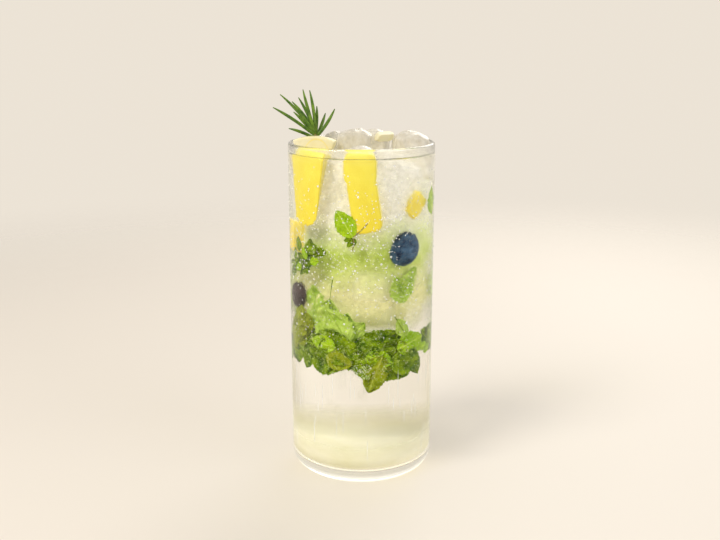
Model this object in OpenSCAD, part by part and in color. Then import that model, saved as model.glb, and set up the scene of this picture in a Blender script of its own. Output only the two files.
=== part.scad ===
// Iced mint and lemon drink in a straight highball glass.
// The origin is the centre of the glass's foot, +Z is up and -Y is the front.

/* [Glass] */
// Outer diameter of the glass
glass_d = 64; // [60:1:72]
// Height of the glass from foot to rim
glass_h = 149; // [146:1:160]
// Thickness of the side wall, rounded over at the rim
wall = 1.9; // [1.5:0.1:2.2]
// Thickness of the base
base_t = 5.5; // [4:0.5:10]
// Radius of the rounded heel under the side wall
heel_r = 8; // [4:0.5:9]
// Radius inside, between the base and the wall
well_r = 7; // [3:0.5:8]

/* [Drink] */
// Height of the liquid's surface above the foot
fill_h = 144; // [142:0.5:144.5]

/* [Ice] */
// Height of each lump of floating ice from its underside to its top
ice_h = 23; // [18:1:26]
// How far a lump may lean, in degrees
ice_lean = 7; // [0:1:9]
// Radius worn onto a lump's upright corners, as a share of its width and depth
ice_corner = 0.29; // [0.27:0.01:0.33]
// Radius of a lump's domed top, as a share of its width and depth
ice_dome = 0.4; // [0.36:0.01:0.5]
// Radius of a lump's rounded underside, as a share of its width and depth
ice_keel = 0.5; // [0.45:0.01:0.6]

/* [Lemon] */
// Radius of the lemon at its equator
lemon_r = 21; // [19:0.5:23]
// Half of the whole lemon's length
lemon_half = 38; // [34:1:42]
// Thickness of the slice
slice_t = 4.6; // [3:0.2:5]
// Depth of the wedges from the skin to the trimmed core
wedge_depth = 9; // [7:0.5:10]

/* [Rosemary] */
// Diameter of the sprig's stem
stem_d = 2; // [1.6:0.1:2.4]
// Width of a leaf at its middle
leaf_w = 1.5; // [1.3:0.1:2.2]
// Thickness of a leaf
leaf_t = 0.7; // [0.6:0.1:1]

/* [Hidden] */
$fn = 96;
inner_r = glass_d / 2 - wall;
lip_r = wall / 2;

// Floating lumps: [x, y, height of the top, width, depth, turn, seed]
lumps = [
    [-3.2, 1.8, 154.4, 15.4, 12.4, 6, 11],
    [6.0, 14.2, 153.2, 14.4, 10.6, -10, 23],
    [21.2, -0.8, 154.0, 15.0, 15.0, 4, 37],
    [-22.8, 12.6, 152.6, 9.4, 9.6, -28, 41],
    [-10.7, 15.6, 151.8, 12.0, 11.4, -14, 59],
    [20.2, 15.0, 151.4, 11.4, 10.4, 36, 67],
    [-0.6, 25.4, 150.8, 15.0, 7.6, 2, 73],
    [-0.6, -12.8, 148.4, 14.6, 10.4, -6, 97],
    [9.3, 0.2, 149.4, 6.8, 10.6, 3, 83],
];
lump_nodes = [for (i = [1:len(lumps)]) str("ice_", i)];

wedge_turn = 51.5; // the tall wedge faces this far round from the front
wedge_half_angle = 29; // half of the tall wedge's angle at the core
wedge_top = 147.4;
wedge_rise = 7; // part of the tall wedge above the lemon's equator
wedge_drop = 26; // part of the tall wedge below the lemon's equator
wedge_lean = 16; // lean of the tall wedge's lower end towards the wall
wall_gap = 0.3; // between the wall and what stands inside

slice_r = 26;
slice_top = 151.6;
slice_half_angle = 21.5;
slice_at = [-20.2, -3.4]; // middle of the slice
slice_turn = -12;

block_round = 3; // radius on the corners of the front wedge's blocks
// Blocks of the front wedge: [x, lowest z, width, height, tilt]
blocks = [[-0.6, 134.4, 13, 12.6, 0], [2.8, 114.4, 11.8, 22.4, -8]];

chip_at = [9.9, 0.4, 151.9];
chip_size = [5.8, 4.2, 4.0];
chip_tilt = [14, -10, 18];
chip_wear = 0.42; // radius of the chip's worn corners, as a share of its diagonal

stem_foot = [-18.8, 6.6, 126];
stem_head = [-20.2, 4.0, 152.6];

// Leaves of the sprig: [height on the stem from 0 to 1, tip x, y, z, bow in x, bow in z]
leaves = [
    [0.93, -38.4, 1.5, 163.4, 0, 1.4],
    [0.95, -35.4, 4.0, 168.8, 1.8, 0.8],
    [0.97, -27.6, 6.0, 167.4, 1.2, 0],
    [0.99, -25.4, 2.5, 171.0, -0.6, 0],
    [1.00, -22.6, 4.5, 170.6, 0.9, 0],
    [0.96, -19.7, 7.5, 163.6, 0.5, 0],
    [0.92, -11.7, 4.6, 162.6, 0.6, -1.6],
    [0.94, -20.2, -0.4, 157.6, 0, 0],
    [0.88, -31.4, -1.6, 154.6, 0, 1.2],
    [0.98, -30.6, 9.0, 165.4, 1, 0.6],
    [0.90, -16.0, 10.4, 160.4, 0.4, -0.4],
    [0.86, -25.4, 11.6, 159.2, 0, 0.8],
    [0.91, -29.8, 5.4, 161.2, 0.6, 0.8],
];
leaf_rings = 6; // rings of points along a leaf
leaf_side = [0.25, 1, 0.1]; // a leaf's width lies square to this and to its own length
leaf_end = 0.12; // half of the width left at a leaf's tip

// Empty space inside the glass, up to the height top
module well(top) {
    rotate_extrude()
        union() {
            translate([0, base_t]) square([inner_r - well_r, top - base_t]);
            translate([0, base_t + well_r]) square([inner_r, top - base_t - well_r]);
            translate([inner_r - well_r, base_t + well_r]) circle(well_r);
        }
}

module glass() {
    color("lightcyan", 0.35)
        difference() {
            rotate_extrude()
                union() {
                    square([glass_d / 2 - heel_r, glass_h - lip_r]);
                    translate([0, heel_r]) square([glass_d / 2, glass_h - lip_r - heel_r]);
                    translate([glass_d / 2 - heel_r, heel_r]) circle(heel_r);
                    translate([glass_d / 2 - lip_r, glass_h - lip_r]) circle(lip_r);
                }
            well(glass_h + 1);
        }
}

// Everything that stands inside keeps this far within the wall
module inside() {
    cylinder(h = 2 * glass_h, r = inner_r - wall_gap);
}

// One lump of ice on its underside at z = 0: a leaning block worn round at its corners and top
module lump(w, d, h, seed) {
    lean = rands(-ice_lean, ice_lean, 3, seed);
    intersection() {
        translate([0, 0, h / 2]) rotate(lean) cube([w, d, 2 * h], center = true);
        cylinder(h = h, r = (w + d) * ice_corner);
        translate([0, 0, h - (w + d) * ice_dome]) sphere((w + d) * ice_dome);
        translate([0, 0, (w + d) * ice_keel]) sphere((w + d) * ice_keel);
    }
}

module ice_lump(i) {
    spec = lumps[i];
    color("whitesmoke", 0.8)
        intersection() {
            translate([spec[0], spec[1], spec[2] - ice_h])
                rotate([0, 0, spec[5]])
                    lump(spec[3], spec[4], ice_h, spec[6]);
            inside();
        }
}

// Whole lemon about the Z axis: the part near the axis of a large circle, turned round
module lemon() {
    arc_r = (lemon_half * lemon_half + lemon_r * lemon_r) / (2 * lemon_r);
    rotate_extrude()
        intersection() {
            translate([lemon_r - arc_r, 0]) circle(arc_r, $fn = 180);
            translate([0, -lemon_half]) square([lemon_r, 2 * lemon_half]);
        }
}

// Sector towards -Y of half angle a, from radius 0 to far
module sector(a, far, h) {
    linear_extrude(h)
        polygon([[0, 0], [-far * sin(a), -far * cos(a)], [0, -far / cos(a)], [far * sin(a), -far * cos(a)]]);
}

// Piece cut lengthwise from the lemon, with its skin towards the wall
module lemon_wedge() {
    skin = lemon_r - inner_r + wall_gap;
    color("gold")
        intersection() {
            rotate([0, 0, -wedge_turn])
                translate([0, skin - lemon_r, wedge_top])
                    rotate([-wedge_lean, 0, 0])
                        translate([0, lemon_r, -wedge_rise])
                            intersection() {
                                lemon();
                                translate([0, 0, -wedge_drop])
                                    sector(wedge_half_angle, 2 * lemon_r, wedge_drop + wedge_rise);
                                translate([-lemon_r, -2 * lemon_r, -lemon_half])
                                    cube([2 * lemon_r, lemon_r + wedge_depth, 2 * lemon_half]);
                            }
            inside();
            cylinder(h = wedge_top, r = glass_d);
        }
}

module lemon_slice() {
    far = 2 * slice_r * [sin(slice_half_angle), cos(slice_half_angle)];
    color("lemonchiffon")
        intersection() {
            translate([slice_at[0], slice_at[1], slice_top - slice_r])
                rotate([90, 0, slice_turn])
                    intersection() {
                        cylinder(h = slice_t, r = slice_r, center = true);
                        linear_extrude(slice_t, center = true) polygon([[0, 0], [far[0], far[1]], [-far[0], far[1]]]);
                    }
            inside();
        }
}

// Outline of a block seen from the front, with round corners
module round_block(w, h) {
    union() {
        translate([-w / 2, block_round]) square([w, h - 2 * block_round]);
        translate([block_round - w / 2, 0]) square([w - 2 * block_round, h]);
        for (x = [block_round - w / 2, w / 2 - block_round])
            for (z = [block_round, h - block_round])
                translate([x, z]) circle(block_round);
    }
}

module lemon_peel() {
    color("gold")
        intersection() {
            union()
                for (b = blocks)
                    translate([b[0], wedge_depth - inner_r, b[1]])
                        rotate([90, b[4], 0])
                            linear_extrude(2 * wedge_depth) round_block(b[2], b[3]);
            translate([0, lemon_r - inner_r + wall_gap, 0]) cylinder(h = glass_h, r = lemon_r);
            inside();
        }
}

module lemon_chip() {
    color("lemonchiffon")
        translate(chip_at)
            rotate(chip_tilt)
                intersection() {
                    cube(chip_size, center = true);
                    sphere(norm(chip_size) * chip_wear);
                }
}

// Point at t on the curve from a to b with its middle control point at m
function bow(a, m, b, t) = (1 - t) * (1 - t) * a + 2 * t * (1 - t) * m + t * t * b;

// Cross product made one unit long
function across(u, v) = cross(u, v) / norm(cross(u, v));

// One leaf: a flat four-cornered section carried along the curve, narrow at both ends
module leaf(a, m, b) {
    side = across(b - a, leaf_side);
    face = across(side, b - a);
    rings = [for (k = [0:leaf_rings]) k / leaf_rings];
    points = [
        for (t = rings)
            let (p = bow(a, m, b, t), w = leaf_w / 2 * (0.6 + 0.4 * sin(180 * t)) * (1 - pow(t, 6)) + leaf_end)
                for (s = [[w, 0], [0, leaf_t / 2 * (1 - 0.6 * t)], [-w, 0], [0, -leaf_t / 2 * (1 - 0.6 * t)]])
                    p + side * s[0] + face * s[1],
    ];
    last = 4 * leaf_rings;
    faces = [
        for (k = [0:leaf_rings - 1]) for (j = [0:3])
            [4 * k + j, 4 * k + (j + 1) % 4, 4 * k + 4 + (j + 1) % 4, 4 * k + 4 + j],
        [3, 2, 1, 0],
        [last, last + 1, last + 2, last + 3],
    ];
    polyhedron(points, faces);
}

module stem(r) {
    rise = stem_head - stem_foot;
    translate(stem_foot)
        rotate([0, acos(rise[2] / norm(rise)), atan2(rise[1], rise[0])])
            cylinder(h = norm(rise), r = r, $fn = 24);
}

module rosemary() {
    color("olivedrab")
        union() {
            stem(stem_d / 2);
            for (l = leaves) {
                a = stem_foot + (stem_head - stem_foot) * l[0];
                b = [l[1], l[2], l[3]];
                leaf(a, (a + b) / 2 + [l[4], 0, l[5]], b);
            }
        }
}

// Liquid up to its level, hollowed round everything that stands in it
module drink() {
    color("palegoldenrod", 0.6)
        difference() {
            well(fill_h);
            for (i = [0:len(lumps) - 1]) ice_lump(i);
            lemon_wedge();
            lemon_peel();
            lemon_slice();
            stem(stem_d / 2);
        }
}

glass();
drink();
lemon_wedge();
lemon_slice();
lemon_peel();
lemon_chip();
rosemary();
for (i = [0:len(lumps) - 1])
    ice_lump(i);
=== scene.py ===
import random
from contextlib import contextmanager
from math import atan2, copysign, cos, degrees, pi, radians, sin, sqrt

import bpy
from mathutils import Matrix, Vector, noise
from mathutils.bvhtree import BVHTree


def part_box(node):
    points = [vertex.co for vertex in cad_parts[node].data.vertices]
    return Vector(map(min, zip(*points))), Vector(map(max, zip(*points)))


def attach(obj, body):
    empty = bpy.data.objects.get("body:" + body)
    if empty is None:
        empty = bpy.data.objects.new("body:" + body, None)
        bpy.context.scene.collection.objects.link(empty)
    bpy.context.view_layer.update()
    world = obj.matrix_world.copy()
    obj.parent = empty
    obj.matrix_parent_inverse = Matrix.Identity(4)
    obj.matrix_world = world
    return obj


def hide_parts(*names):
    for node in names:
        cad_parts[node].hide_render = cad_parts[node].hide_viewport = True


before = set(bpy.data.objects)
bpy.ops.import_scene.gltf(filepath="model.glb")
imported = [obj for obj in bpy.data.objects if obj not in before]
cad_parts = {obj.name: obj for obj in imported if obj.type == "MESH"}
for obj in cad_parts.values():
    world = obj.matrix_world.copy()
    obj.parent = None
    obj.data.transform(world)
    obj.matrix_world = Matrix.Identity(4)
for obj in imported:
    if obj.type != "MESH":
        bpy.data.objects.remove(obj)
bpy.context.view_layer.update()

MM = 0.001
noise.seed_set(1)  # noise_vector starts from the clock unless it is seeded

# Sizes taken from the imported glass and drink
GLASS_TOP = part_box("glass")[1]
DRINK_LOW, DRINK_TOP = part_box("drink")
GLASS_R = GLASS_TOP.x
GLASS_H = GLASS_TOP.z
WELL_R = DRINK_TOP.x
WALL = GLASS_R - WELL_R
FLOOR_T = DRINK_LOW.z
LEVEL = DRINK_TOP.z
HEEL_R = 8 * MM
CORNER_R = 7 * MM
BITE = 0.15 * MM  # how far the liquid reaches into the glass
BERRY_SPOTS = ((46, 105.0), (-76, 82.0))  # bearing in degrees and height in mm


# ---- helpers

def deselect():
    bpy.ops.object.select_all(action="DESELECT")


def pick(piece):
    deselect()
    piece.select_set(True)
    bpy.context.view_layer.objects.active = piece


@contextmanager
def editing(piece):
    """Edit mode on one piece, with all of it selected."""
    pick(piece)
    bpy.ops.object.mode_set(mode="EDIT")
    bpy.ops.mesh.select_all(action="SELECT")
    yield
    bpy.ops.object.mode_set(mode="OBJECT")


def face_outwards(piece):
    with editing(piece):
        bpy.ops.mesh.normals_make_consistent(inside=False)


def new_piece(name, primitive, location=(0, 0, 0), **settings):
    """Adds a primitive, selected all over, to be shaped."""
    deselect()
    primitive(location=location, **settings)
    piece = bpy.context.object
    piece.name = name
    return piece


def in_scene(name, data):
    made = bpy.data.objects.new(name, data)
    bpy.context.scene.collection.objects.link(made)
    return made


def apply_place(piece):
    pick(piece)
    bpy.ops.object.transform_apply(location=True, rotation=True, scale=True)


def modify(piece, kind, **settings):
    """Adds a modifier and applies it at once."""
    pick(piece)
    mod = piece.modifiers.new(kind.title(), kind)
    for key, value in settings.items():
        setattr(mod, key, value)
    bpy.ops.object.modifier_apply(modifier=mod.name)


def smooth(piece, angle=None):
    pick(piece)
    if angle is None:
        bpy.ops.object.shade_smooth()
    else:
        bpy.ops.object.shade_smooth_by_angle(angle=angle)


def copy_of(piece, name):
    twin = piece.copy()
    twin.data = piece.data.copy()
    twin.name = name
    bpy.context.scene.collection.objects.link(twin)
    return twin


def join(pieces, name):
    pick(pieces[0])
    for piece in pieces:
        piece.select_set(True)
    bpy.ops.object.join()
    joined = bpy.context.object
    joined.name = name
    joined.data.name = name
    return joined


def remove(*pieces):
    for piece in pieces:
        bpy.data.objects.remove(piece)


def settle(piece, slot, *nodes):
    """Hands a finished piece to the frame."""
    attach(piece, "root")
    if nodes:
        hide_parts(*nodes)


def move_points(piece, rule):
    """Moves each point of a mesh to rule(point)."""
    for vertex in piece.data.vertices:
        vertex.co = rule(vertex.co.copy())
    piece.data.update()


def turned_profile(name, outline, steps):
    """A body of revolution from (radius, height) points that start and end on the axis."""
    piece = new_piece(name, bpy.ops.mesh.primitive_plane_add, size=MM)
    with editing(piece):
        bpy.ops.mesh.merge(type="CENTER")
        bpy.ops.transform.translate(value=(outline[0][0], 0, outline[0][1]))
        for here, there in zip(outline, outline[1:]):
            step = (there[0] - here[0], 0, there[1] - here[1])
            bpy.ops.mesh.extrude_vertices_move(TRANSFORM_OT_translate={"value": step})
        bpy.ops.mesh.select_all(action="SELECT")
        bpy.ops.mesh.spin(steps=steps, angle=2 * pi, center=(0, 0, 0), axis=(0, 0, 1))
        bpy.ops.mesh.select_all(action="SELECT")
        bpy.ops.mesh.remove_doubles(threshold=0.001 * MM)
        bpy.ops.mesh.normals_make_consistent(inside=False)
    return piece


def arc(centre_r, centre_z, radius, start, end, steps):
    """Points along an arc in the profile plane, with angles in degrees from the radius axis."""
    angles = [radians(start + (end - start) * k / steps) for k in range(steps + 1)]
    return [(centre_r + radius * cos(a), centre_z + radius * sin(a)) for a in angles]


def run_to(outline, last, count):
    """Draws a profile on to last in evenly spaced points."""
    r, z = outline[-1]
    for k in range(1, count + 1):
        share = k / count
        outline.append((r + (last[0] - r) * share, z + (last[1] - z) * share))


# ---- materials

WHITE = (1, 1, 1, 1)
BLACK = (0, 0, 0, 1)


def dial(made, **settings):
    """Sets a node's inputs by name, with _ for each space, or else its own properties."""
    for key, value in settings.items():
        label = key.replace("_", " ")
        if label in made.inputs.keys():
            made.inputs[label].default_value = value
        else:
            setattr(made, key, value)
    return made


def node(tree, kind, **settings):
    return dial(tree.nodes.new("ShaderNode" + kind), **settings)


def feed(source, target, *labels):
    """Links a socket to each of a node's inputs that is named or numbered."""
    for label in labels:
        target.id_data.links.new(source, target.inputs[label])


def new_material(name, **settings):
    mat = bpy.data.materials.new(name)
    mat.use_nodes = True
    tree = mat.node_tree
    return mat, tree, dial(tree.nodes["Principled BSDF"], **settings)


def object_place(tree, scale=(1, 1, 1)):
    """Object coordinates through a Mapping node."""
    mapping = node(tree, "Mapping", Scale=scale)
    feed(node(tree, "TexCoord").outputs["Object"], mapping, "Vector")
    return mapping.outputs["Vector"]


def height_of(tree):
    split = node(tree, "SeparateXYZ")
    feed(object_place(tree), split, "Vector")
    return split.outputs["Z"]


def ranged(tree, source, low, high, to_low, to_high):
    """A value carried from one range to another."""
    change = node(tree, "MapRange", From_Min=low, From_Max=high, To_Min=to_low, To_Max=to_high)
    feed(source, change, "Value")
    return change.outputs["Result"]


def added(tree, first, second, share):
    """first times share, plus second."""
    sums = node(tree, "Math", operation="MULTIPLY_ADD")
    sums.inputs[1].default_value = share
    feed(first, sums, 0)
    feed(second, sums, 2)
    return sums.outputs["Value"]


def blended(tree, factor, first, second, blend="MIX"):
    """Mixes two colours, each a socket or a plain colour."""
    mix = node(tree, "Mix", data_type="RGBA", blend_type=blend)
    for label, value in (("Factor", factor), ("A", first), ("B", second)):
        if isinstance(value, bpy.types.NodeSocket):
            feed(value, mix, label)
        else:
            mix.inputs[label].default_value = value
    return mix.outputs["Result"]


def mixed_shaders(tree, factor, first, second):
    mix = node(tree, "MixShader")
    feed(factor, mix, "Fac")
    feed(first.outputs[0], mix, 1)
    feed(second.outputs[0], mix, 2)
    return mix


def colour_stops(tree, factor, stops):
    ramp = node(tree, "ValToRGB")
    elements = ramp.color_ramp.elements
    for k, (place, color) in enumerate(stops):
        stop = elements[k] if k < 2 else elements.new(place)
        stop.position = place
        stop.color = color
    feed(factor, ramp, "Fac")
    return ramp.outputs["Color"]


def stored(tree, name):
    """A value kept on the mesh's points."""
    return node(tree, "Attribute", attribute_name=name).outputs["Fac"]


def new_group(name, inputs, outputs):
    """A node group with these inputs after a place and a scale."""
    group = bpy.data.node_groups.new(name, "ShaderNodeTree")
    for label, kind, value in [("Vector", "Vector", None), ("Scale", "Float", 100.0)] + inputs:
        socket = group.interface.new_socket(label, in_out="INPUT", socket_type="NodeSocket" + kind)
        if value is not None:
            socket.default_value = value
    for label, kind in outputs:
        group.interface.new_socket(label, in_out="OUTPUT", socket_type="NodeSocket" + kind)
    return group, group.nodes.new("NodeGroupInput").outputs, group.nodes.new("NodeGroupOutput")


def mottle_group():
    """Two colours mixed by cloudy noise, for anything that grew or froze unevenly."""
    group, given, end = new_group(
        "mottle",
        [("Dark", "Color", BLACK), ("Light", "Color", WHITE), ("Low", "Float", 0.35),
         ("High", "Float", 0.65)],
        [("Color", "Color"), ("Mask", "Float")])
    clouds = node(group, "TexNoise", Detail=4.0, Roughness=0.6)
    span = node(group, "MapRange")
    mix = node(group, "Mix", data_type="RGBA")
    for label in ("Vector", "Scale"):
        feed(given[label], clouds, label)
    feed(clouds.outputs["Fac"], span, "Value")
    feed(given["Low"], span, "From Min")
    feed(given["High"], span, "From Max")
    feed(span.outputs["Result"], mix, "Factor")
    feed(given["Dark"], mix, "A")
    feed(given["Light"], mix, "B")
    feed(mix.outputs["Result"], end, "Color")
    feed(span.outputs["Result"], end, "Mask")
    return group


def relief_group():
    """Fine uneven relief as a normal."""
    group, given, end = new_group(
        "relief",
        [("Strength", "Float", 0.3), ("Depth", "Float", 0.2 * MM)],
        [("Normal", "Vector")])
    grain = node(group, "TexNoise", Detail=3.0, Roughness=0.55)
    bump = node(group, "Bump")
    for label in ("Vector", "Scale"):
        feed(given[label], grain, label)
    feed(given["Strength"], bump, "Strength")
    feed(given["Depth"], bump, "Distance")
    feed(grain.outputs["Fac"], bump, "Height")
    feed(bump.outputs["Normal"], end, "Normal")
    return group


MOTTLE = mottle_group()
RELIEF = relief_group()


def mottled(tree, scale, dark=BLACK, light=WHITE, low=0.35, high=0.65, stretch=(1, 1, 1)):
    """The mottle's outputs, Color and Mask."""
    made = node(tree, "Group", node_tree=MOTTLE)
    dial(made, Scale=scale, Dark=dark, Light=light, Low=low, High=high)
    feed(object_place(tree, stretch), made, "Vector")
    return made.outputs


def add_relief(tree, shader, scale, strength, depth):
    made = node(tree, "Group", node_tree=RELIEF, Scale=scale, Strength=strength, Depth=depth)
    feed(object_place(tree), made, "Vector")
    feed(made.outputs["Normal"], shader, "Normal")


def let_lamps_in(mat, tint=WHITE):
    """Shadow and diffuse rays pass straight through, so that what stands in the glass is lit."""
    tree = mat.node_tree
    path = node(tree, "LightPath").outputs
    either = node(tree, "Math", operation="MAXIMUM")
    feed(path["Is Shadow Ray"], either, 0)
    feed(path["Is Diffuse Ray"], either, 1)
    clear = node(tree, "BsdfTransparent", Color=tint)
    mix = mixed_shaders(tree, either.outputs["Value"], tree.nodes["Principled BSDF"], clear)
    feed(mix.outputs["Shader"], tree.nodes["Material Output"], "Surface")
    return mat


def see_through(name, color, ior, roughness, transmission=1.0, mirror=1.0):
    return new_material(name, Base_Color=color, Specular_Tint=(mirror, mirror, mirror, 1), IOR=ior,
                        Transmission_Weight=transmission, Roughness=roughness)


def clear_glass(name, mirror=1.0):
    """Bare glass, with a painted glow in the thick foot and a little at the rim."""
    mat, tree, shader = see_through(name, (0.985, 0.99, 0.985, 1), 1.47, 0.0, mirror=mirror)
    feed(mottled(tree, 60.0, dark=(0.985, 0.995, 0.99, 1))["Color"], shader, "Base Color")
    # Painted glow: emission in the thick foot and just above the drink's level at the rim
    foot = ranged(tree, height_of(tree), 3.5 * MM, 6.0 * MM, 1.0, 0.0)
    rim = ranged(tree, height_of(tree), LEVEL, LEVEL + 2 * MM, 0.0, 0.11)
    painted_glow_colour = blended(tree, added(tree, rim, foot, 1.0), BLACK, (0.95, 0.92, 0.82, 1))
    feed(painted_glow_colour, shader, "Emission Color")
    dial(shader, Emission_Strength=0.38)
    return let_lamps_in(mat)


def misted_glass():
    """The outside of the glass: beaded with mist where it is cold, with runs of water below."""
    mat, tree, shader = see_through("misted glass", (0.99, 0.99, 0.985, 1), 1.47, 0.2, mirror=0.12)
    beads = mottled(tree, 1100.0, low=0.35, high=0.7)["Mask"]
    runs = mottled(tree, 420.0, low=0.35, high=0.7, stretch=(1, 1, 0.06))["Mask"]
    mist = ranged(tree, height_of(tree), 0.045, 0.085, 0.0, 1.0)
    feed(ranged(tree, mist, 0.0, 1.0, 0.08, 0.16), shader, "Roughness")
    bump = node(tree, "Bump", Strength=0.16, Distance=0.25 * MM)
    feed(blended(tree, mist, runs, beads), bump, "Height")
    feed(bump.outputs["Normal"], shader, "Normal")
    return let_lamps_in(mat)


def liquid(name, mirror=1.0):
    mat, tree, shader = see_through(name, (0.99, 0.975, 0.93, 1), 1.333, 0.0, mirror=mirror)
    tone = mottled(tree, 40.0, dark=(0.985, 0.97, 0.92, 1), light=(0.995, 0.98, 0.94, 1))
    feed(tone["Color"], shader, "Base Color")
    return let_lamps_in(mat, (0.99, 0.985, 0.95, 1))


def water():
    """Small beads of mist, half clear and half white."""
    mat, tree, shader = see_through("water drops", WHITE, 1.2, 0.25, 0.5, 0.5)
    feed(mottled(tree, 300.0, dark=(0.93, 0.93, 0.88, 1))["Color"], shader, "Base Color")
    return let_lamps_in(mat)


def ice(name, ior, roughness, transmission, dark, light):
    """Clear ice, clouded in fine crazed patches."""
    mat, tree, shader = see_through(name, (0.95, 0.94, 0.9, 1), ior, roughness, transmission)
    tone = mottled(tree, 480.0, dark=dark, light=light, low=0.38, high=0.62, stretch=(1, 1, 0.6))
    feed(tone["Color"], shader, "Base Color")
    add_relief(tree, shader, 420.0, 0.55, 0.5 * MM)
    return let_lamps_in(mat, (0.99, 0.99, 0.98, 1))


def cloud_colour(tree):
    """From the mint up: green, pale straw, green again, then cream to the surface."""
    wobble = mottled(tree, 55.0, low=0.2, high=0.8)["Mask"]
    place = added(tree, wobble, height_of(tree), 16 * MM)
    span = ranged(tree, place, 0.07, 0.16, 0.0, 1.0)
    return colour_stops(tree, span, [
        (0.0, (0.62, 0.68, 0.18, 1)), (1.0, (0.80, 0.74, 0.62, 1)), (0.12, (0.82, 0.80, 0.36, 1)),
        (0.24, (0.87, 0.82, 0.42, 1)), (0.34, (0.76, 0.79, 0.31, 1)), (0.46, (0.56, 0.70, 0.12, 1)),
        (0.54, (0.82, 0.87, 0.48, 1)), (0.64, (0.95, 0.92, 0.83, 1)), (0.84, (0.95, 0.92, 0.86, 1))])


def frost():
    """The white cloud of trapped air in the middle of a lump of ice."""
    mat, tree, shader = see_through("frost", (0.9, 0.88, 0.8, 1), 1.1, 0.7, 0.35)
    fleck = mottled(tree, 520.0, dark=(0.84, 0.83, 0.80, 1), low=0.42, high=0.58)["Color"]
    feed(blended(tree, 1.0, cloud_colour(tree), fleck, "MULTIPLY"), shader, "Base Color")
    return let_lamps_in(mat, (0.96, 0.96, 0.94, 1))


def fizz():
    """Haze of fine bubbles and melt between the lumps of ice, with a painted glow in its own colour."""
    # The colour also goes to Emission: a painted glow that lifts the haze where it lies in shade
    mat, tree, shader = new_material("fizz", Roughness=0.8, Specular_IOR_Level=0.0,
                                     Emission_Strength=0.25)
    fleck = mottled(tree, 620.0, dark=(0.80, 0.80, 0.77, 1), low=0.4, high=0.6)["Color"]
    whole = blended(tree, 1.0, cloud_colour(tree), fleck, "MULTIPLY")
    feed(whole, shader, "Base Color", "Emission Color")
    clouds = mottled(tree, 75.0, low=0.25, high=0.75)["Mask"]
    fade = ranged(tree, height_of(tree), 0.063, 0.085, -0.12, 0.58)
    feed(added(tree, clouds, fade, 0.30), shader, "Alpha")
    return let_lamps_in(mat, (0.99, 0.99, 0.98, 1))


def settled_pulp():
    """Fine lemon pulp that has sunk: thick at the bottom and thinning upwards, with a faint painted
    glow.
    """
    # The colour also goes to Emission, as a faint painted glow
    mat, tree, shader = new_material("settled pulp", Roughness=0.8, Specular_IOR_Level=0.0,
                                     Emission_Strength=0.05)
    tone = mottled(tree, 60.0, dark=(0.88, 0.85, 0.60, 1), light=(0.95, 0.93, 0.76, 1))["Color"]
    feed(tone, shader, "Base Color", "Emission Color")
    runs = mottled(tree, 45.0, low=0.2, high=0.8, stretch=(1, 1, 0.2))["Mask"]
    fade = ranged(tree, height_of(tree), 0.012, 0.023, 0.60, -0.10)
    feed(added(tree, runs, fade, 0.10), shader, "Alpha")
    return let_lamps_in(mat, (0.98, 0.97, 0.92, 1))


def lemon(name, zest, pith, flesh, line, glow=0.05):
    """Colour by depth under the skin: zest, then pith, then flesh, with painted shade lower down and a
    painted glow.
    """
    # glow sets the Emission strength: a painted glow in the lemon's own colour
    mat, tree, shader = new_material(name, Roughness=0.4, Specular_IOR_Level=0.25,
                                     Emission_Strength=glow)
    span = ranged(tree, stored(tree, "peel_depth"), 0.0, 8 * MM, 0.0, 1.0)
    rings = colour_stops(tree, span, [(0.10, zest), (0.22, pith), (0.5, flesh)])
    lined = blended(tree, stored(tree, "membrane"), rings, line)
    blotch = mottled(tree, 220.0, dark=(0.95, 0.92, 0.80, 1))["Color"]
    # Painted shade: below about 142 mm the colour is painted darker and a deeper yellow
    high = ranged(tree, height_of(tree), 0.116, 0.142, 0.0, 1.0)
    painted_shade_low = blended(tree, high, (0.98, 0.93, 0.55, 1), (0.99, 0.99, 1, 1))
    whole = blended(tree, 1.0, blended(tree, 1.0, lined, blotch, "MULTIPLY"), painted_shade_low, "MULTIPLY")
    feed(whole, shader, "Base Color", "Emission Color")
    add_relief(tree, shader, 900.0, 0.35, 0.3 * MM)
    return mat


def leaf_green(name, dark, light, vein, glow):
    """A quilted leaf, with ribs of another green and a painted glow in its own colour."""
    # glow sets the Emission strength: a painted glow
    mat, tree, shader = new_material(name, Roughness=0.5, Specular_IOR_Level=0.06,
                                     Emission_Strength=glow)
    tone = mottled(tree, 220.0, dark=dark, light=light, low=0.34, high=0.66)["Color"]
    whole = blended(tree, stored(tree, "vein"), tone, vein)
    feed(whole, shader, "Base Color", "Emission Color")
    add_relief(tree, shader, 800.0, 0.6, 0.3 * MM)
    return mat


def berry_skin(name, dark, light):
    mat, tree, shader = new_material(name, Roughness=0.5, Specular_IOR_Level=0.08)
    bloom = mottled(tree, 230.0, dark=dark, light=light, low=0.40, high=0.72)
    feed(bloom["Color"], shader, "Base Color")
    add_relief(tree, shader, 900.0, 0.2, 0.2 * MM)
    return mat


def air_bubble(name, dark, light):
    """Clear in the middle, with an opaque pale rim as a painted reflection round the edge, and a
    painted glow.
    """
    # Emission in the bubble's colour: a painted glow
    mat, tree, shader = new_material(name, Roughness=0.3, Emission_Strength=0.28)
    tone = mottled(tree, 400.0, dark=dark, light=light)
    feed(tone["Color"], shader, "Base Color", "Emission Color")
    # Painted reflection: the edge is made opaque and pale where the surface turns away
    edge = node(tree, "LayerWeight", Blend=0.5).outputs["Facing"]
    feed(ranged(tree, edge, 0.30, 0.75, 0.03, 0.85), shader, "Alpha")
    return let_lamps_in(mat)


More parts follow.
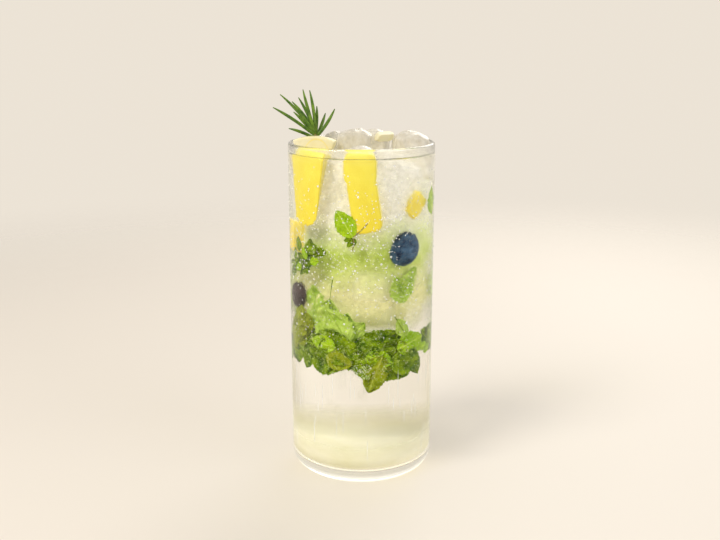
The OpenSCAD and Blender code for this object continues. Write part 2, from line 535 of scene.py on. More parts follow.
def froth(name, dark, light):
    """Bubbles too fine to see through."""
    mat, tree, shader = see_through(name, light, 1.2, 0.3, 0.3)
    feed(mottled(tree, 400.0, dark=dark, light=light)["Color"], shader, "Base Color")
    return let_lamps_in(mat)


def woody():
    mat, tree, shader = new_material("stem", Roughness=0.6)
    tone = mottled(tree, 300.0, dark=(0.16, 0.10, 0.03, 1), light=(0.30, 0.26, 0.07, 1))
    feed(tone["Color"], shader, "Base Color")
    add_relief(tree, shader, 900.0, 0.5, 0.2 * MM)
    return mat


def needle_green():
    """Dark above, with a pale felted underside."""
    mat, tree, shader = new_material("rosemary needle", Roughness=0.38)
    tone = mottled(tree, 300.0, dark=(0.045, 0.12, 0.006, 1), light=(0.17, 0.30, 0.02, 1))["Color"]
    whole = blended(tree, stored(tree, "under"), tone, (0.34, 0.42, 0.22, 1))
    feed(whole, shader, "Base Color")
    add_relief(tree, shader, 900.0, 0.3, 0.2 * MM)
    return mat


CLEAR_GLASS = clear_glass("clear glass")
WETTED_GLASS = clear_glass("glass against the drink", 0.1)
MISTED_GLASS = misted_glass()
DRINK = liquid("drink")
DRINK_EDGE = liquid("drink against the glass", 0.1)
WATER = water()
ICE_DRY = ice("ice above the drink", 1.31, 0.2, 0.68, (0.76, 0.73, 0.66, 1), (0.95, 0.93, 0.88, 1))
ICE_SUNK = ice("ice in the drink", 1.03, 0.4, 0.9, (0.93, 0.92, 0.86, 1), WHITE)
FROST = frost()
FIZZ = fizz()
PULP = settled_pulp()
LEMON = lemon("lemon", (0.98, 0.86, 0.11, 1), (0.96, 0.89, 0.42, 1), (0.96, 0.87, 0.28, 1),
              (0.93, 0.8, 0.2, 1))
LEMON_CUT = lemon("lemon slice", (0.92, 0.84, 0.54, 1), (0.88, 0.82, 0.60, 1), (0.89, 0.82, 0.55, 1),
                  (0.92, 0.78, 0.26, 1))
# The lemon in the ice has a stronger painted glow
LEMON_SOFT = lemon("lemon in the ice", (0.93, 0.80, 0.17, 1), (0.94, 0.84, 0.30, 1),
                   (0.94, 0.84, 0.28, 1), (0.9, 0.8, 0.2, 1), 0.14)
MINT = leaf_green("mint", (0.035, 0.11, 0.001, 1), (0.27, 0.40, 0.003, 1), (0.38, 0.50, 0.03, 1), 0.03)
# A lighter, more glowing copy of the mint, for leaves painted as lit
MINT_PAINTED_LIT = leaf_green("mint painted lit", (0.24, 0.44, 0.004, 1), (0.44, 0.64, 0.012, 1),
                         (0.60, 0.76, 0.10, 1), 0.06)
MINT_OLIVE = leaf_green("bruised mint", (0.18, 0.24, 0.003, 1), (0.34, 0.40, 0.01, 1),
                        (0.46, 0.5, 0.08, 1), 0.03)
MINT_PALE = leaf_green("mint in ice", (0.36, 0.53, 0.06, 1), (0.56, 0.72, 0.16, 1),
                       (0.26, 0.40, 0.04, 1), 0.05)
NEEDLE = needle_green()
STEM = woody()
BERRY = berry_skin("blue berry", (0.010, 0.026, 0.065, 1), (0.10, 0.21, 0.36, 1))
BERRY_DUSK = berry_skin("dusky berry", (0.014, 0.005, 0.008, 1), (0.075, 0.045, 0.045, 1))
AIR = air_bubble("air bubble", (0.84, 0.88, 0.66, 1), (1, 1, 0.95, 1))
AIR_GREEN = air_bubble("air bubble on mint", (0.50, 0.62, 0.10, 1), (0.86, 0.92, 0.48, 1))
FROTH = froth("froth", (0.86, 0.90, 0.66, 1), (1, 1, 0.94, 1))
FROTH_GREEN = froth("froth on mint", (0.50, 0.62, 0.10, 1), (0.88, 0.94, 0.50, 1))


def coat(piece, *materials):
    piece.data.materials.clear()
    for mat in materials:
        piece.data.materials.append(mat)


def complete(piece, mat, slot, *nodes, angle=None):
    """Coats a shaped piece, smooths it and hands it to the frame."""
    coat(piece, mat)
    smooth(piece, angle)
    settle(piece, slot, *nodes)


# ---- glass and drink

CORNER_AT = (WELL_R - CORNER_R, FLOOR_T + CORNER_R)  # centre of the round inner corner


def make_glass():
    """A straight tumbler with a rounded lip and heel, misted outside and wetted inside."""
    lip = WALL / 2
    outline = [(0, 0)]
    run_to(outline, (GLASS_R - HEEL_R, 0), 4)
    outline += arc(GLASS_R - HEEL_R, HEEL_R, HEEL_R, -90, 0, 14)[1:]
    run_to(outline, (GLASS_R, GLASS_H - lip), 24)
    outline += arc(GLASS_R - lip, GLASS_H - lip, lip, 0, 180, 12)[1:]
    run_to(outline, (WELL_R, FLOOR_T + CORNER_R), 24)
    outline += arc(*CORNER_AT, CORNER_R, 0, -90, 12)[1:]
    run_to(outline, (0, FLOOR_T), 4)
    glass = turned_profile("glass_body", outline, 160)
    coat(glass, CLEAR_GLASS, MISTED_GLASS, WETTED_GLASS)
    for face in glass.data.polygons:
        reach = sqrt(face.center.x ** 2 + face.center.y ** 2)
        outside = reach > GLASS_R - 0.3 * WALL
        if outside and HEEL_R < face.center.z < GLASS_H - WALL:
            face.material_index = 1
        elif reach < WELL_R + 0.1 * WALL and FLOOR_T - BITE < face.center.z < LEVEL:
            face.material_index = 2
    smooth(glass, radians(40))
    settle(glass, "glass", "glass")


def make_drink():
    low = FLOOR_T - BITE
    outline = [(0, low)]
    run_to(outline, (CORNER_AT[0], low), 4)
    outline += arc(*CORNER_AT, CORNER_R + BITE, -90, 0, 12)[1:]
    run_to(outline, (WELL_R + BITE, LEVEL + 1.0 * MM), 24)
    # Meniscus: the surface climbs the wall
    climb = ((0.15, 0.75), (0.6, 0.35), (1.3, 0.12), (2.2, 0.0))
    outline += [(WELL_R - inward * MM, LEVEL + rise * MM) for inward, rise in climb]
    run_to(outline, (0, LEVEL), 14)
    drink = turned_profile("drink_body", outline, 160)
    coat(drink, DRINK, DRINK_EDGE)
    for face in drink.data.polygons:
        face.material_index = 0 if face.normal.z > 0.3 else 1
    smooth(drink, radians(50))
    settle(drink, "drink", "drink")


def make_fizz():
    """A lumpy body just inside the wall, from the mint up to the surface."""
    low, high, radius = 62 * MM, LEVEL - 1.2 * MM, 22.5 * MM
    outline = [(0, low)]
    run_to(outline, (radius * 0.6, low + 1 * MM), 4)
    run_to(outline, (radius * 0.92, low + 7 * MM), 6)
    run_to(outline, (radius, low + 17 * MM), 6)
    run_to(outline, (radius, high - 3 * MM), 30)
    run_to(outline, (radius * 0.9, high), 3)
    run_to(outline, (0, high), 8)
    cloud = turned_profile("fizz_cloud", outline, 96)

    def billow(p):
        push = noise.noise_vector(p * 85) * 2.6 * MM + noise.noise_vector(p * 260) * 0.7 * MM
        q = p + push
        return Vector((q.x, q.y, min(q.z, high)))

    move_points(cloud, billow)
    complete(cloud, FIZZ, "drink")


def make_pulp():
    """A thin cup of settled pulp inside the bottom of the drink."""
    gap, high = 0.5 * MM, 34 * MM
    outline = arc(*CORNER_AT, CORNER_R - gap, -90, 0, 12)
    run_to(outline, (WELL_R - gap, high), 10)
    run_to(outline, (WELL_R - 2 * gap, high), 1)
    run_to(outline, (WELL_R - 2 * gap, FLOOR_T + CORNER_R), 10)
    outline += arc(*CORNER_AT, CORNER_R - 2 * gap, 0, -90, 12)[1:]
    outline = [(0, FLOOR_T + gap)] + outline + [(0, FLOOR_T + 2 * gap)]
    complete(turned_profile("settled_pulp", outline, 96), PULP, "lemon", angle=radians(50))


# ---- ice

def rounded_block(name, size, seed):
    """A worn lump: a cube with bevelled edges, bulged and knocked out of true."""
    block = new_piece(name, bpy.ops.mesh.primitive_cube_add, size=1)
    block.scale = size
    apply_place(block)
    with editing(block):
        bpy.ops.mesh.bevel(offset=min(size) * 0.2, segments=3, profile=0.6, affect="EDGES")
        bpy.ops.mesh.subdivide(number_cuts=3)
    drift = Vector((seed * 1.7, seed * 0.9, seed * 2.3))

    def knock(p):
        wide = noise.noise_vector(p * 90 + drift) * min(size) * 0.16
        fine = noise.noise_vector(p * 330 + drift) * min(size) * 0.03
        return p + wide + fine

    move_points(block, knock)
    return block


def place(piece, at, turn):
    piece.location = at
    piece.rotation_euler = [radians(angle) for angle in turn]
    apply_place(piece)
    return piece


def shrunk(piece, name, share):
    """A copy drawn in towards its own middle."""
    twin = copy_of(piece, name)
    points = [v.co for v in twin.data.vertices]
    middle = sum(points, Vector()) / len(points)
    move_points(twin, lambda p: middle + (p - middle) * share)
    return twin


def cut_level(piece, name, z, keep_above):
    half = copy_of(piece, name)
    with editing(half):
        bpy.ops.mesh.bisect(plane_co=(0, 0, z), plane_no=(0, 0, 1), use_fill=True,
                            clear_inner=keep_above, clear_outer=not keep_above)
    return half


def soften(node_name, name, voxel, rounds):
    """A copy of a CAD solid with its edges rounded."""
    twin = copy_of(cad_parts[node_name], name)
    twin.parent = None
    with editing(twin):
        bpy.ops.mesh.remove_doubles(threshold=0.01 * MM)
    modify(twin, "REMESH", mode="VOXEL", voxel_size=voxel)
    modify(twin, "SMOOTH", factor=0.5, iterations=rounds)
    return twin


def make_floating_ice(number):
    """A lump in two shells, above the drink and below it, round a core of trapped air."""
    node_name = "ice_%d" % number
    whole = soften(node_name, "lump", 0.55 * MM, 9)
    drift = Vector((number * 1.3, number * 2.1, 0))

    def weather(p):
        return (p + noise.noise_vector(p * 130 + drift) * 0.7 * MM
                + noise.noise_vector(p * 420 + drift) * 0.34 * MM)

    move_points(whole, weather)
    core = shrunk(whole, "core", 0.84)
    dry = cut_level(whole, "dry", LEVEL - 0.2 * MM, keep_above=True)
    wet = cut_level(whole, "wet", LEVEL - 0.6 * MM, keep_above=False)
    remove(whole)
    coat(dry, ICE_DRY)
    coat(wet, ICE_SUNK)
    coat(core, FROST)
    lump = join([dry, wet, core], "lump_%d" % number)
    smooth(lump, radians(35))
    settle(lump, "ice", node_name)


def make_sunk_ice():
    """Lumps packed from under the surface down to the mint."""
    rng = random.Random(5)
    sizes = ((20, 17, 15), (17, 15, 18), (22, 15, 13))
    layer_heights = (125, 108, 91, 75)
    kinds = [rounded_block("kind", [s * MM for s in size], k) for k, size in enumerate(sizes)]
    lumps, cores = [], []
    for layer, z in enumerate(layer_heights):
        for k in range(5 if layer % 2 == 0 else 4):
            angle = radians(72 * k + 31 * layer + rng.uniform(-8, 8))
            out = rng.uniform(11.5, 13.5) * MM
            at = (out * cos(angle), out * sin(angle), (z + rng.uniform(-3, 3)) * MM)
            turn = [rng.uniform(-35, 35), rng.uniform(-35, 35), rng.uniform(0, 360)]
            kind = kinds[(layer + k) % 3]
            lumps.append(place(copy_of(kind, "sunk"), at, turn))
            cores.append(place(shrunk(kind, "core", 0.7), at, turn))
    remove(*kinds)
    complete(join(lumps, "sunk_ice"), ICE_SUNK, "ice", angle=radians(30))
    complete(join(cores, "ice_cores"), FROST, "ice")


# ---- lemon

SLICE_R = 26 * MM


def set_values(piece, name, values):
    layer = piece.data.attributes.new(name, "FLOAT", "POINT")
    layer.data.foreach_set("value", values)


def keep_depths(piece, depths, edges=None):
    """Stores each point's depth under the skin and how near it is to a membrane."""
    set_values(piece, "peel_depth", depths)
    set_values(piece, "membrane", edges or [0.0] * len(depths))


def skin_depth(piece, outward):
    """How deep each point lies under the skin, along the way the skin faces."""
    outward = Vector(outward).normalized()
    tree = BVHTree.FromPolygons([v.co for v in piece.data.vertices],
                                [p.vertices for p in piece.data.polygons])
    far = 60 * MM
    depths = []
    for vertex in piece.data.vertices:
        hit = tree.ray_cast(vertex.co + outward * far, -outward)
        depths.append(max(0.0, far - hit[3]) if hit[0] else 0.0)
    return depths


def make_lemon_pieces():
    for node_name, name, outward in (
            ("lemon_wedge", "wedge_tall", (-0.75, -0.66, 0)),
            ("lemon_peel", "wedge_front", (0, -1, 0))):
        piece = soften(node_name, name, 0.4 * MM, 10)
        keep_depths(piece, skin_depth(piece, outward))
        complete(piece, LEMON, "lemon", node_name)


def make_cut_lemon():
    """The slice at the rim and the chip on the ice, both showing pith and flesh."""
    piece = soften("lemon_slice", "half_slice", 0.3 * MM, 8)
    low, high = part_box("lemon_slice")
    middle = Vector(((low.x + high.x) / 2, (low.y + high.y) / 2, high.z - SLICE_R))
    depths, edges = [], []
    for vertex in piece.data.vertices:
        away = vertex.co - middle
        radial = sqrt(away.x ** 2 + away.y ** 2 * 0.05 + away.z ** 2)
        depth = max(0.0, SLICE_R - radial)
        bend = degrees(atan2(away.x, away.z))
        arch = 1.0 * MM + 0.020 * MM * (bend - 2) ** 2
        depths.append(0.6 * MM + depth)
        edges.append(max(0.0, 1 - abs(depth - arch) / (0.5 * MM)))
    keep_depths(piece, depths, edges)
    complete(piece, LEMON_CUT, "lemon", "lemon_slice")
    chip = soften("lemon_chip", "chip_on_ice", 0.25 * MM, 2)
    heart = sum(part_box("lemon_chip"), Vector()) / 2

    def lean(p):
        away = p - heart
        return heart + Vector((away.x * 1.22 + away.z * 0.4, away.y,
                               away.z * 0.82 - away.x * 0.12 - 0.8 * MM))

    move_points(chip, lean)
    keep_depths(chip, [2.4 * MM] * len(chip.data.vertices))
    complete(chip, LEMON_CUT, "lemon", "lemon_chip")


def make_sunk_lemon(name, at, size, turn, seed):
    piece = place(rounded_block(name, [side * MM for side in size], seed), at, turn)
    keep_depths(piece, skin_depth(piece, (at.x, at.y, 0)))
    complete(piece, LEMON_SOFT, "lemon")


# ---- mint

def leaf_form(name, length, width, fold, curl, quilt, seed):
    """A mint leaf lying along +Y, its stalk end at the origin, its upper side up."""
    leaf = new_piece(name, bpy.ops.mesh.primitive_grid_add, (0, 0.5, 0), size=1,
                     x_subdivisions=24, y_subdivisions=36)
    apply_place(leaf)
    teeth = 12
    drift = Vector((seed, seed * 0.7, 0))
    ribs = []
    for vertex in leaf.data.vertices:
        s, t = vertex.co.x * 2, vertex.co.y
        half = width / 2 * (sin(pi * min(1, t) ** 0.85) ** 0.7) * (1 - 0.1 * t)
        tooth = 1 + 0.20 * ((t * teeth) % 1 - 0.5) * min(1, 4 * t)
        across = s * half * (tooth if abs(s) > 0.95 else 1)
        slant = t * 7 - abs(s) * 1.5
        rib = abs((slant % 1) - 0.5) * 2
        puff = quilt * (1 - rib ** 3) * (1 - abs(s) ** 4) * (0.3 + 0.7 * abs(s) ** 0.5)
        lift = abs(s) ** 1.3 * half * fold
        spot = Vector((s * 1.4, t * 2.6, 0)) + drift
        wave = noise.noise(spot) * width * 0.14 + noise.noise(spot * 3) * width * 0.07
        bend = curl * length * (t - 0.5) ** 2
        vertex.co = Vector((across, t * length, puff + lift + wave - bend))
        middle = max(0, 1 - abs(s) * 14)
        side = max(0, (rib - 0.80) / 0.20) * (1 - abs(s) * 0.6)
        ribs.append(min(1.0, middle + 0.5 * side))
    leaf.data.update()
    set_values(leaf, "vein", ribs)
    modify(leaf, "SOLIDIFY", thickness=0.2 * MM, offset=0)
    return leaf


def press_to_wall(leaf, bearing, z, tilt, gap, lean=0.0):
    """Lays a leaf against the inside of the glass."""
    turn = Matrix.Rotation(radians(tilt), 3, "Z")
    radius = WELL_R - gap
    limit = WELL_R - 0.12 * MM

    def wrap(p):
        q = turn @ p
        angle = radians(bearing) + q.x / radius
        r = min(radius - q.z - lean * q.y, limit + 0.04 * p.z)
        return Vector((r * sin(angle), -r * cos(angle), z + q.y))

    move_points(leaf, wrap)
    face_outwards(leaf)
    return leaf


LEAF_KINDS = [
    leaf_form("kind_flat", 13 * MM, 9.2 * MM, 0.05, 0.05, 0.35 * MM, 1.0),
    leaf_form("kind_folded", 15 * MM, 11 * MM, 0.22, 0.25, 0.8 * MM, 4.0),
    leaf_form("kind_curled", 13 * MM, 10 * MM, -0.2, 0.5, 0.9 * MM, 8.0),
]


def mint_piece(name, mat, rows):
    """Leaves given as (kind, bearing, height, tilt, gap, scale, and a lean if any), as one piece."""
    leaves = []
    for kind, bearing, z, tilt, gap, scale, *lean in rows:
        leaf = copy_of(LEAF_KINDS[kind], "leaf")
        leaf.scale = (scale, scale, scale)
        apply_place(leaf)
        leaves.append(press_to_wall(leaf, bearing, z * MM, tilt, gap * MM, *lean))
    complete(join(leaves, name), mat, "mint")


def twig(name, points, radius, mat, slot):
    """A thin stalk along a few points, thinning to its end."""
    stalk = new_piece(name, bpy.ops.mesh.primitive_circle_add, vertices=8, radius=1, fill_type="NGON")
    rings = 6  # between one point and the next
    with editing(stalk):
        for k in range(rings * (len(points) - 1)):
            bpy.ops.mesh.select_mode(type="FACE")
            bpy.ops.mesh.extrude_region_move(TRANSFORM_OT_translate={"value": (0, 0, 1)})

    def along(u):
        k = min(int(u), len(points) - 2)
        return points[k].lerp(points[k + 1], u - k)

    def lay(p):
        u = p.z / rings
        ahead = (along(min(u + 0.2, len(points) - 1)) - along(max(u - 0.2, 0))).normalized()
        side = ahead.orthogonal().normalized()
        r = radius * (1 - 0.45 * u / (len(points) - 1))
        return along(u) + (side * p.x + ahead.cross(side) * p.y) * r

    move_points(stalk, lay)
    face_outwards(stalk)
    complete(stalk, mat, slot, angle=radians(60))


def on_wall(bearing, z, gap):
    """A point gap mm inside the wall. Bearings run in degrees from the front to the right."""
    r = WELL_R - gap * MM
    return Vector((r * sin(radians(bearing)), -r * cos(radians(bearing)), z * MM))


def wall_twig(name, radius, mat, *spots):
    twig(name, [on_wall(*spot) for spot in spots], radius * MM, mat, "mint")


def make_mint():
    mint_piece("mint_front_leaf", MINT_PAINTED_LIT, [(0, -6.6, 112.7, 33, -0.3, 1.0)])
    mint_piece("mint_front_bud", MINT, [
        (0, -7.0, 112.2, 108, 0.5, 0.30),
        (1, -7.0, 112.0, 150, 0.6, 0.28),
        (0, -6.4, 112.2, 190, 0.7, 0.24),
    ])
    wall_twig("mint_front_stalk", 0.28, STEM, (-6.4, 112.8, 0.3), (-1.2, 115.2, 0.3), (4.8, 118.6, 0.3))
    wall_twig("mint_front_tail", 0.3, STEM, (-6.6, 112.0, 0.6), (-6.0, 109.6, 0.6), (-7.2, 107.0, 0.6))
    rng = random.Random(12)

    def spread(count, *ranges):
        """Leaves at random, from ranges of bearing, height, tilt, gap and scale."""
        return [(rng.randrange(3), *[rng.uniform(*ends) for ends in ranges], rng.uniform(-0.25, 0.25))
                for k in range(count)]

    def row(z, bearings, tilts, gap, scale=1.1):
        made = []
        for bearing in bearings:
            tilt = rng.choice(tilts) + rng.uniform(-20, 20)
            if 30 < abs(bearing) < 90:  # leaves near the sides point inwards
                tilt = copysign(tilt, bearing)
            made.append((rng.randrange(3), bearing + rng.uniform(-2, 2), z + rng.uniform(-1.2, 1.2),
                         tilt, gap + rng.uniform(0, 1.4), scale * rng.uniform(0.9, 1.1),
                         rng.uniform(-0.15, 0.15)))
        return made

    bed = row(60, range(-56, 58, 9), (85, -85, 60, -60), 3.2, 1.3)
    bed += row(63, range(-50, 54, 13), (100, -100, 80, -80), 1.6, 1.35)
    bed += row(57, range(-46, 52, 14), (95, -95, 75, -75), 0.9, 1.25)
    bed += [(1, 45, 61, 200, 0.9, 0.85), (2, -46, 62, 165, 0.9, 0.8),
            (2, -34, 61, 190, 1.1, 0.75), (0, -4, 60, 205, 1.0, 0.85)]
    mint_piece("mint_bed", MINT, bed)
    mint_piece("mint_bed_tip", MINT_OLIVE, [
        (1, 17, 60.5, 160, 0.5, 1.15), (0, 26, 58, 130, 1.4, 0.9),
        (2, -30, 59, -100, 0.5, 0.9)])
    mint_piece("mint_bed_lit", MINT_PAINTED_LIT, [
        (1, 30, 63, -80, 0.5, 1.0), (0, -22, 64, 80, 0.5, 0.9), (1, 4, 61, -110, 0.6, 0.8)])
    mint_piece("mint_left", MINT, spread(17, (-60, -44), (97, 105), (0, 360), (0.5, 3.5), (0.36, 0.52)))
    mint_piece("mint_left_lit", MINT_PAINTED_LIT, [
        (0, -50, 101, 30, 0.4, 0.42), (2, -45, 100, -70, 0.4, 0.38),
        (1, -57, 98, 120, 0.4, 0.36)])
    mint_piece("mint_left_low", MINT, spread(6, (-76, -60), (95, 100), (0, 360), (0.6, 3), (0.35, 0.5)))
    column = spread(9, (-74, -50), (58, 67), (-40, 40), (0.4, 3), (0.7, 0.95))
    mint_piece("mint_column", MINT_OLIVE, column)
    mint_piece("mint_right", MINT_PAINTED_LIT, spread(3, (62, 76), (56, 64), (0, 360), (0.6, 2), (0.4, 0.5))
               + [(0, 75, 118.5, 4, 0.4, 0.95)])
    mint_piece("mint_behind", MINT_PALE, [
        (1, -36, 66, -14, 2.4, 1.3), (0, -10, 66, 34, 2.0, 1.35), (0, -20, 64, -44, 2.8, 1.2),
        (1, -48, 72, 4, 4.5, 1.15, 0.1), (2, -22, 64, -16, 5.0, 1.2),
        (2, 41, 82.5, 20, 5.0, 0.95, 0.05), (1, 45, 85, -20, 5.0, 0.85)])
    mint_piece("mint_deep", MINT, [
        (2, -30, 92, -40, 12.5, 1.3, 0.1), (0, -6, 92, 70, 13, 1.5), (2, 16, 96, 100, 12.5, 1.6),
        (1, 40, 90, 10, 12.5, 1.2), (1, 50, 100, -60, 12.5, 1.2),
        (1, -36, 103, 60, 12.5, 1.2)])
    mint_piece("mint_grey", MINT_PALE, [(1, 40, 68, 30, 1.2, 0.62)])
    wall_twig("mint_stalk_right", 0.24, MINT, (28, 77.5, 1), (41, 67, 1.2))
    wall_twig("mint_stalk_left", 0.18, MINT, (-24, 94, 1), (-27, 84, 1))
    # Round the back. Seen from the front, the liquid draws the wall at 160 and 200 degrees
    # out along its whole edge, so the green leaves keep clear of that
    back = (84, 94, 104, 113, 122, 238, 247, 256, 266, 276)
    mint_piece("mint_bed_back", MINT, row(58, back, (80, -80, 40, -40), 1.6)
               + row(63, back[1::2], (120, -120, 150, 210), 0.8))
    mint_piece("mint_bed_back_pale", MINT_PALE, row(52, range(152, 212, 11), (85, -85), 1.2, 0.9))
    mint_piece("mint_back", MINT_PALE, spread(5, (88, 142), (72, 98), (0, 360), (1, 5), (0.8, 1.2))
               + spread(5, (218, 272), (72, 98), (0, 360), (1, 5), (0.8, 1.2))
               + spread(2, (172, 188), (76, 96), (0, 360), (1, 5), (0.9, 1.2)))
    remove(*LEAF_KINDS)


# ---- berries

def make_berry(name, mat, at, size, turn):
    berry = new_piece(name, bpy.ops.mesh.primitive_uv_sphere_add, segments=40, ring_count=24,
                      radius=0.5)

    def shape(p):
        crown = max(0, (p.z - 0.38) / 0.12)
        ring = sqrt(p.x ** 2 + p.y ** 2)
        star = 0.035 * cos(5 * atan2(p.y, p.x)) * (1 if 0.08 < ring < 0.24 else 0)
        dent = -0.09 if ring < 0.12 and p.z > 0 else 0
        q = Vector((p.x, p.y, p.z + crown * (0.02 + star) + dent))
        return q + noise.noise_vector(p * 3) * 0.004

    move_points(berry, shape)
    modify(berry, "SUBSURF", levels=1, render_levels=1)
    berry.scale = [side * MM for side in size]
    apply_place(berry)
    complete(place(berry, at, turn), mat, "berry")


# ---- rosemary

STEM_FOOT = Vector((-18.8, 6.6, 126)) * MM
STEM_HEAD = Vector((-20.2, 4.0, 152.6)) * MM
# Needles: share of the stem's height, tip x, y, z, bow in x and in z, all in mm
NEEDLES = [
    (0.93, -38.4, 1.5, 163.4, 0, 1.4), (0.95, -35.4, 4.0, 168.8, 1.8, 0.8),
    (0.97, -27.6, 6.0, 167.4, 1.2, 0), (0.99, -25.4, 2.5, 171.0, -0.6, 0),
    (1.00, -22.6, 4.5, 170.6, 0.9, 0), (0.96, -19.7, 7.5, 163.6, 0.5, 0),
    (0.92, -11.7, 4.6, 162.6, 0.6, -1.6), (0.94, -20.2, -0.4, 157.6, 0, 0),
    (0.88, -31.4, -1.6, 154.6, 0, 1.2), (0.98, -30.6, 9.0, 165.4, 1, 0.6),
    (0.90, -16.0, 10.4, 160.4, 0.4, -0.4), (0.86, -25.4, 11.6, 159.2, 0, 0.8),
    (0.91, -29.8, 5.4, 161.2, 0.6, 0.8),
]


def needle_form():
    """A needle along +Y of length 1, with its edges rolled under."""
    needle = new_piece("form", bpy.ops.mesh.primitive_grid_add, (0, 0.5, 0), size=1,
                       x_subdivisions=6, y_subdivisions=20)
    apply_place(needle)
    half = 0.68 * MM

    def shape(p):
        s, t = p.x * 2, p.y
        width = half * min(1, 0.55 + 3 * t) * (1 - max(0, t - 0.55) ** 2 * 4.2)
        return Vector((s * width, t, -0.28 * MM * s * s - 0.12 * MM * max(0, 1 - abs(s) * 4)))

    move_points(needle, shape)
    modify(needle, "SOLIDIFY", thickness=0.22 * MM, offset=0)
    set_values(needle, "under", [1.0 if v.normal.z < -0.3 else 0.0 for v in needle.data.vertices])
    return needle


def bent_needle(form, start, tip, bend):
    """A copy of the needle laid along a curve from start to tip."""
    side = (tip - start).cross(Vector((0.25, 1, 0.1))).normalized()
    face = (tip - start).cross(side).normalized()

    def lay(p):
        t = p.y
        on = start * (1 - t) ** 2 + bend * 2 * t * (1 - t) + tip * t * t
        return on + side * p.x + face * p.z

    needle = copy_of(form, "needle")
    move_points(needle, lay)
    return needle


def make_rosemary():
    form = needle_form()
    needles = []
    for height, x, y, z, bow_x, bow_z in NEEDLES:
        start = STEM_FOOT.lerp(STEM_HEAD, height)
        tip = Vector((x, y, z)) * MM
        bend = (start + tip) / 2 + Vector((bow_x, 0, bow_z)) * MM
        needles.append(bent_needle(form, start, tip, bend))
    remove(form)
    sprig = join(needles, "rosemary_needles")
    face_outwards(sprig)
    complete(sprig, NEEDLE, "rosemary", "rosemary", angle=radians(50))
    stem = [STEM_FOOT, STEM_FOOT.lerp(STEM_HEAD, 0.5), STEM_HEAD]
    twig("rosemary_stem", stem, 1.0 * MM, STEM, "rosemary")


# ---- bubbles and drops

def small_sphere(name, squash=1.0, segments=8):
    ball = new_piece(name, bpy.ops.mesh.primitive_uv_sphere_add, segments=segments,
                     ring_count=segments - 2, radius=1)
    ball.scale = (1, 1, squash)
    apply_place(ball)
    return ball


def scatter(name, kind, places, mat):
    """One mesh of many copies of kind, each at (position, size, way up or full turn)."""
    points = [v.co.copy() for v in kind.data.vertices]
    faces = [tuple(p.vertices) for p in kind.data.polygons]
    all_points, all_faces = [], []
    for at, size, up in places:
        turn = up if isinstance(up, Matrix) else Vector((0, 0, 1)).rotation_difference(up).to_matrix()
        first = len(all_points)
        all_points += [at + turn @ (p * size) for p in points]
        all_faces += [tuple(first + k for k in face) for face in faces]
    mesh = bpy.data.meshes.new(name)
    mesh.from_pydata([tuple(p) for p in all_points], [], all_faces)
    remove(kind)
    complete(in_scene(name, mesh), mat, "drink")


def outward(p):
    return Vector((p.x, p.y, 0)).normalized()


def hides_berry(at):
    """Whether a bubble or bead would whiten one of the berries."""
    return any((at - on_wall(bearing, z, 6.5)).length < 12 * MM for bearing, z in BERRY_SPOTS)


def make_dew():
    """Beads of condensation outside, thickest where the ice is."""
    rng = random.Random(21)
    places = []
    for k in range(2200):
        z = rng.triangular(60 * MM, GLASS_H - 3 * MM, GLASS_H * 0.75)
        bearing = rng.uniform(0, 2 * pi)
        size = rng.uniform(0.16, 0.36) * MM * (1.6 if rng.random() < 0.12 else 1)
        up = Vector((cos(bearing), sin(bearing), 0))
        at = up * (GLASS_R - 0.03 * MM) + Vector((0, 0, z))
        if not hides_berry(at):
            places.append((at, size, up))
    for k in range(90):  # thin runs of water below the beads
        bearing = rng.uniform(0, 2 * pi)
        up = Vector((cos(bearing), sin(bearing), 0))
        side = Vector((-sin(bearing), cos(bearing), 0))
        width = rng.uniform(0.10, 0.22)
        run = Matrix((side * width, Vector((0, 0, rng.uniform(2.5, 7.5))), up * 0.12)).transposed()
        z = rng.uniform(16 * MM, 50 * MM)
        places.append((up * (GLASS_R - 0.02 * MM) + Vector((0, 0, z)), MM, run))
    scatter("dew", small_sphere("bead", 0.6), places, WATER)


def make_bubbles():
    """Fine bubbles clinging inside the wall from the mint to the surface."""
    rng = random.Random(33)

    def clinging(count, height, sizes, gaps):
        places = []
        for k in range(count):
            at = on_wall(rng.uniform(-180, 180), height(), rng.uniform(*gaps))
            size = rng.uniform(*sizes) * MM
            if not hides_berry(at):
                places.append((at, size, outward(at)))
        return places

    places = clinging(900, lambda: rng.uniform(70, 142.5), (0.2, 0.46), (0.5, 3.0))
    scatter("bubbles", small_sphere("bubble"), places, AIR)
    places = clinging(3000, lambda: rng.triangular(68, 143, 135), (0.08, 0.2), (0.3, 3.0))
    for k in range(260):  # along the lower edge of the mint at the front
        bearing = rng.triangular(-24, 22, -2)
        at = on_wall(bearing, 54 + rng.triangular(-4.5, 3.5, 0), rng.uniform(0.3, 2.0))
        places.append((at, rng.uniform(0.12, 0.26) * MM, outward(at)))
    scatter("froth", small_sphere("bubble", segments=6), places, FROTH)


def place_order(spot):
    return [round(c / (0.01 * MM)) for c in spot[0]]


def make_bubbles_on(name, piece_names, mat, count, sizes, seed):
    """Bubbles stuck to whatever faces the wall."""
    rng = random.Random(seed)
    spots = []
    for piece_name in piece_names:
        for vertex in bpy.data.objects[piece_name].data.vertices:
            if vertex.normal.dot(outward(vertex.co)) > 0.5:
                spots.append((vertex.co.copy(), vertex.normal.copy()))
    if "berry_right" in piece_names:  # a sphere's points come in another order on each run
        spots.sort(key=place_order)
    places = []
    for k in range(count):
        at, up = rng.choice(spots)
        size = rng.uniform(*sizes) * MM
        at = at + up * size * 0.5
        reach = sqrt(at.x ** 2 + at.y ** 2)
        if reach + size > WELL_R:
            at = at * ((WELL_R - size) / reach)
            at.z = at.z * reach / (WELL_R - size)
        places.append((at, size, up))
    scatter(name, small_sphere("bubble"), places, mat)


# ---- stage

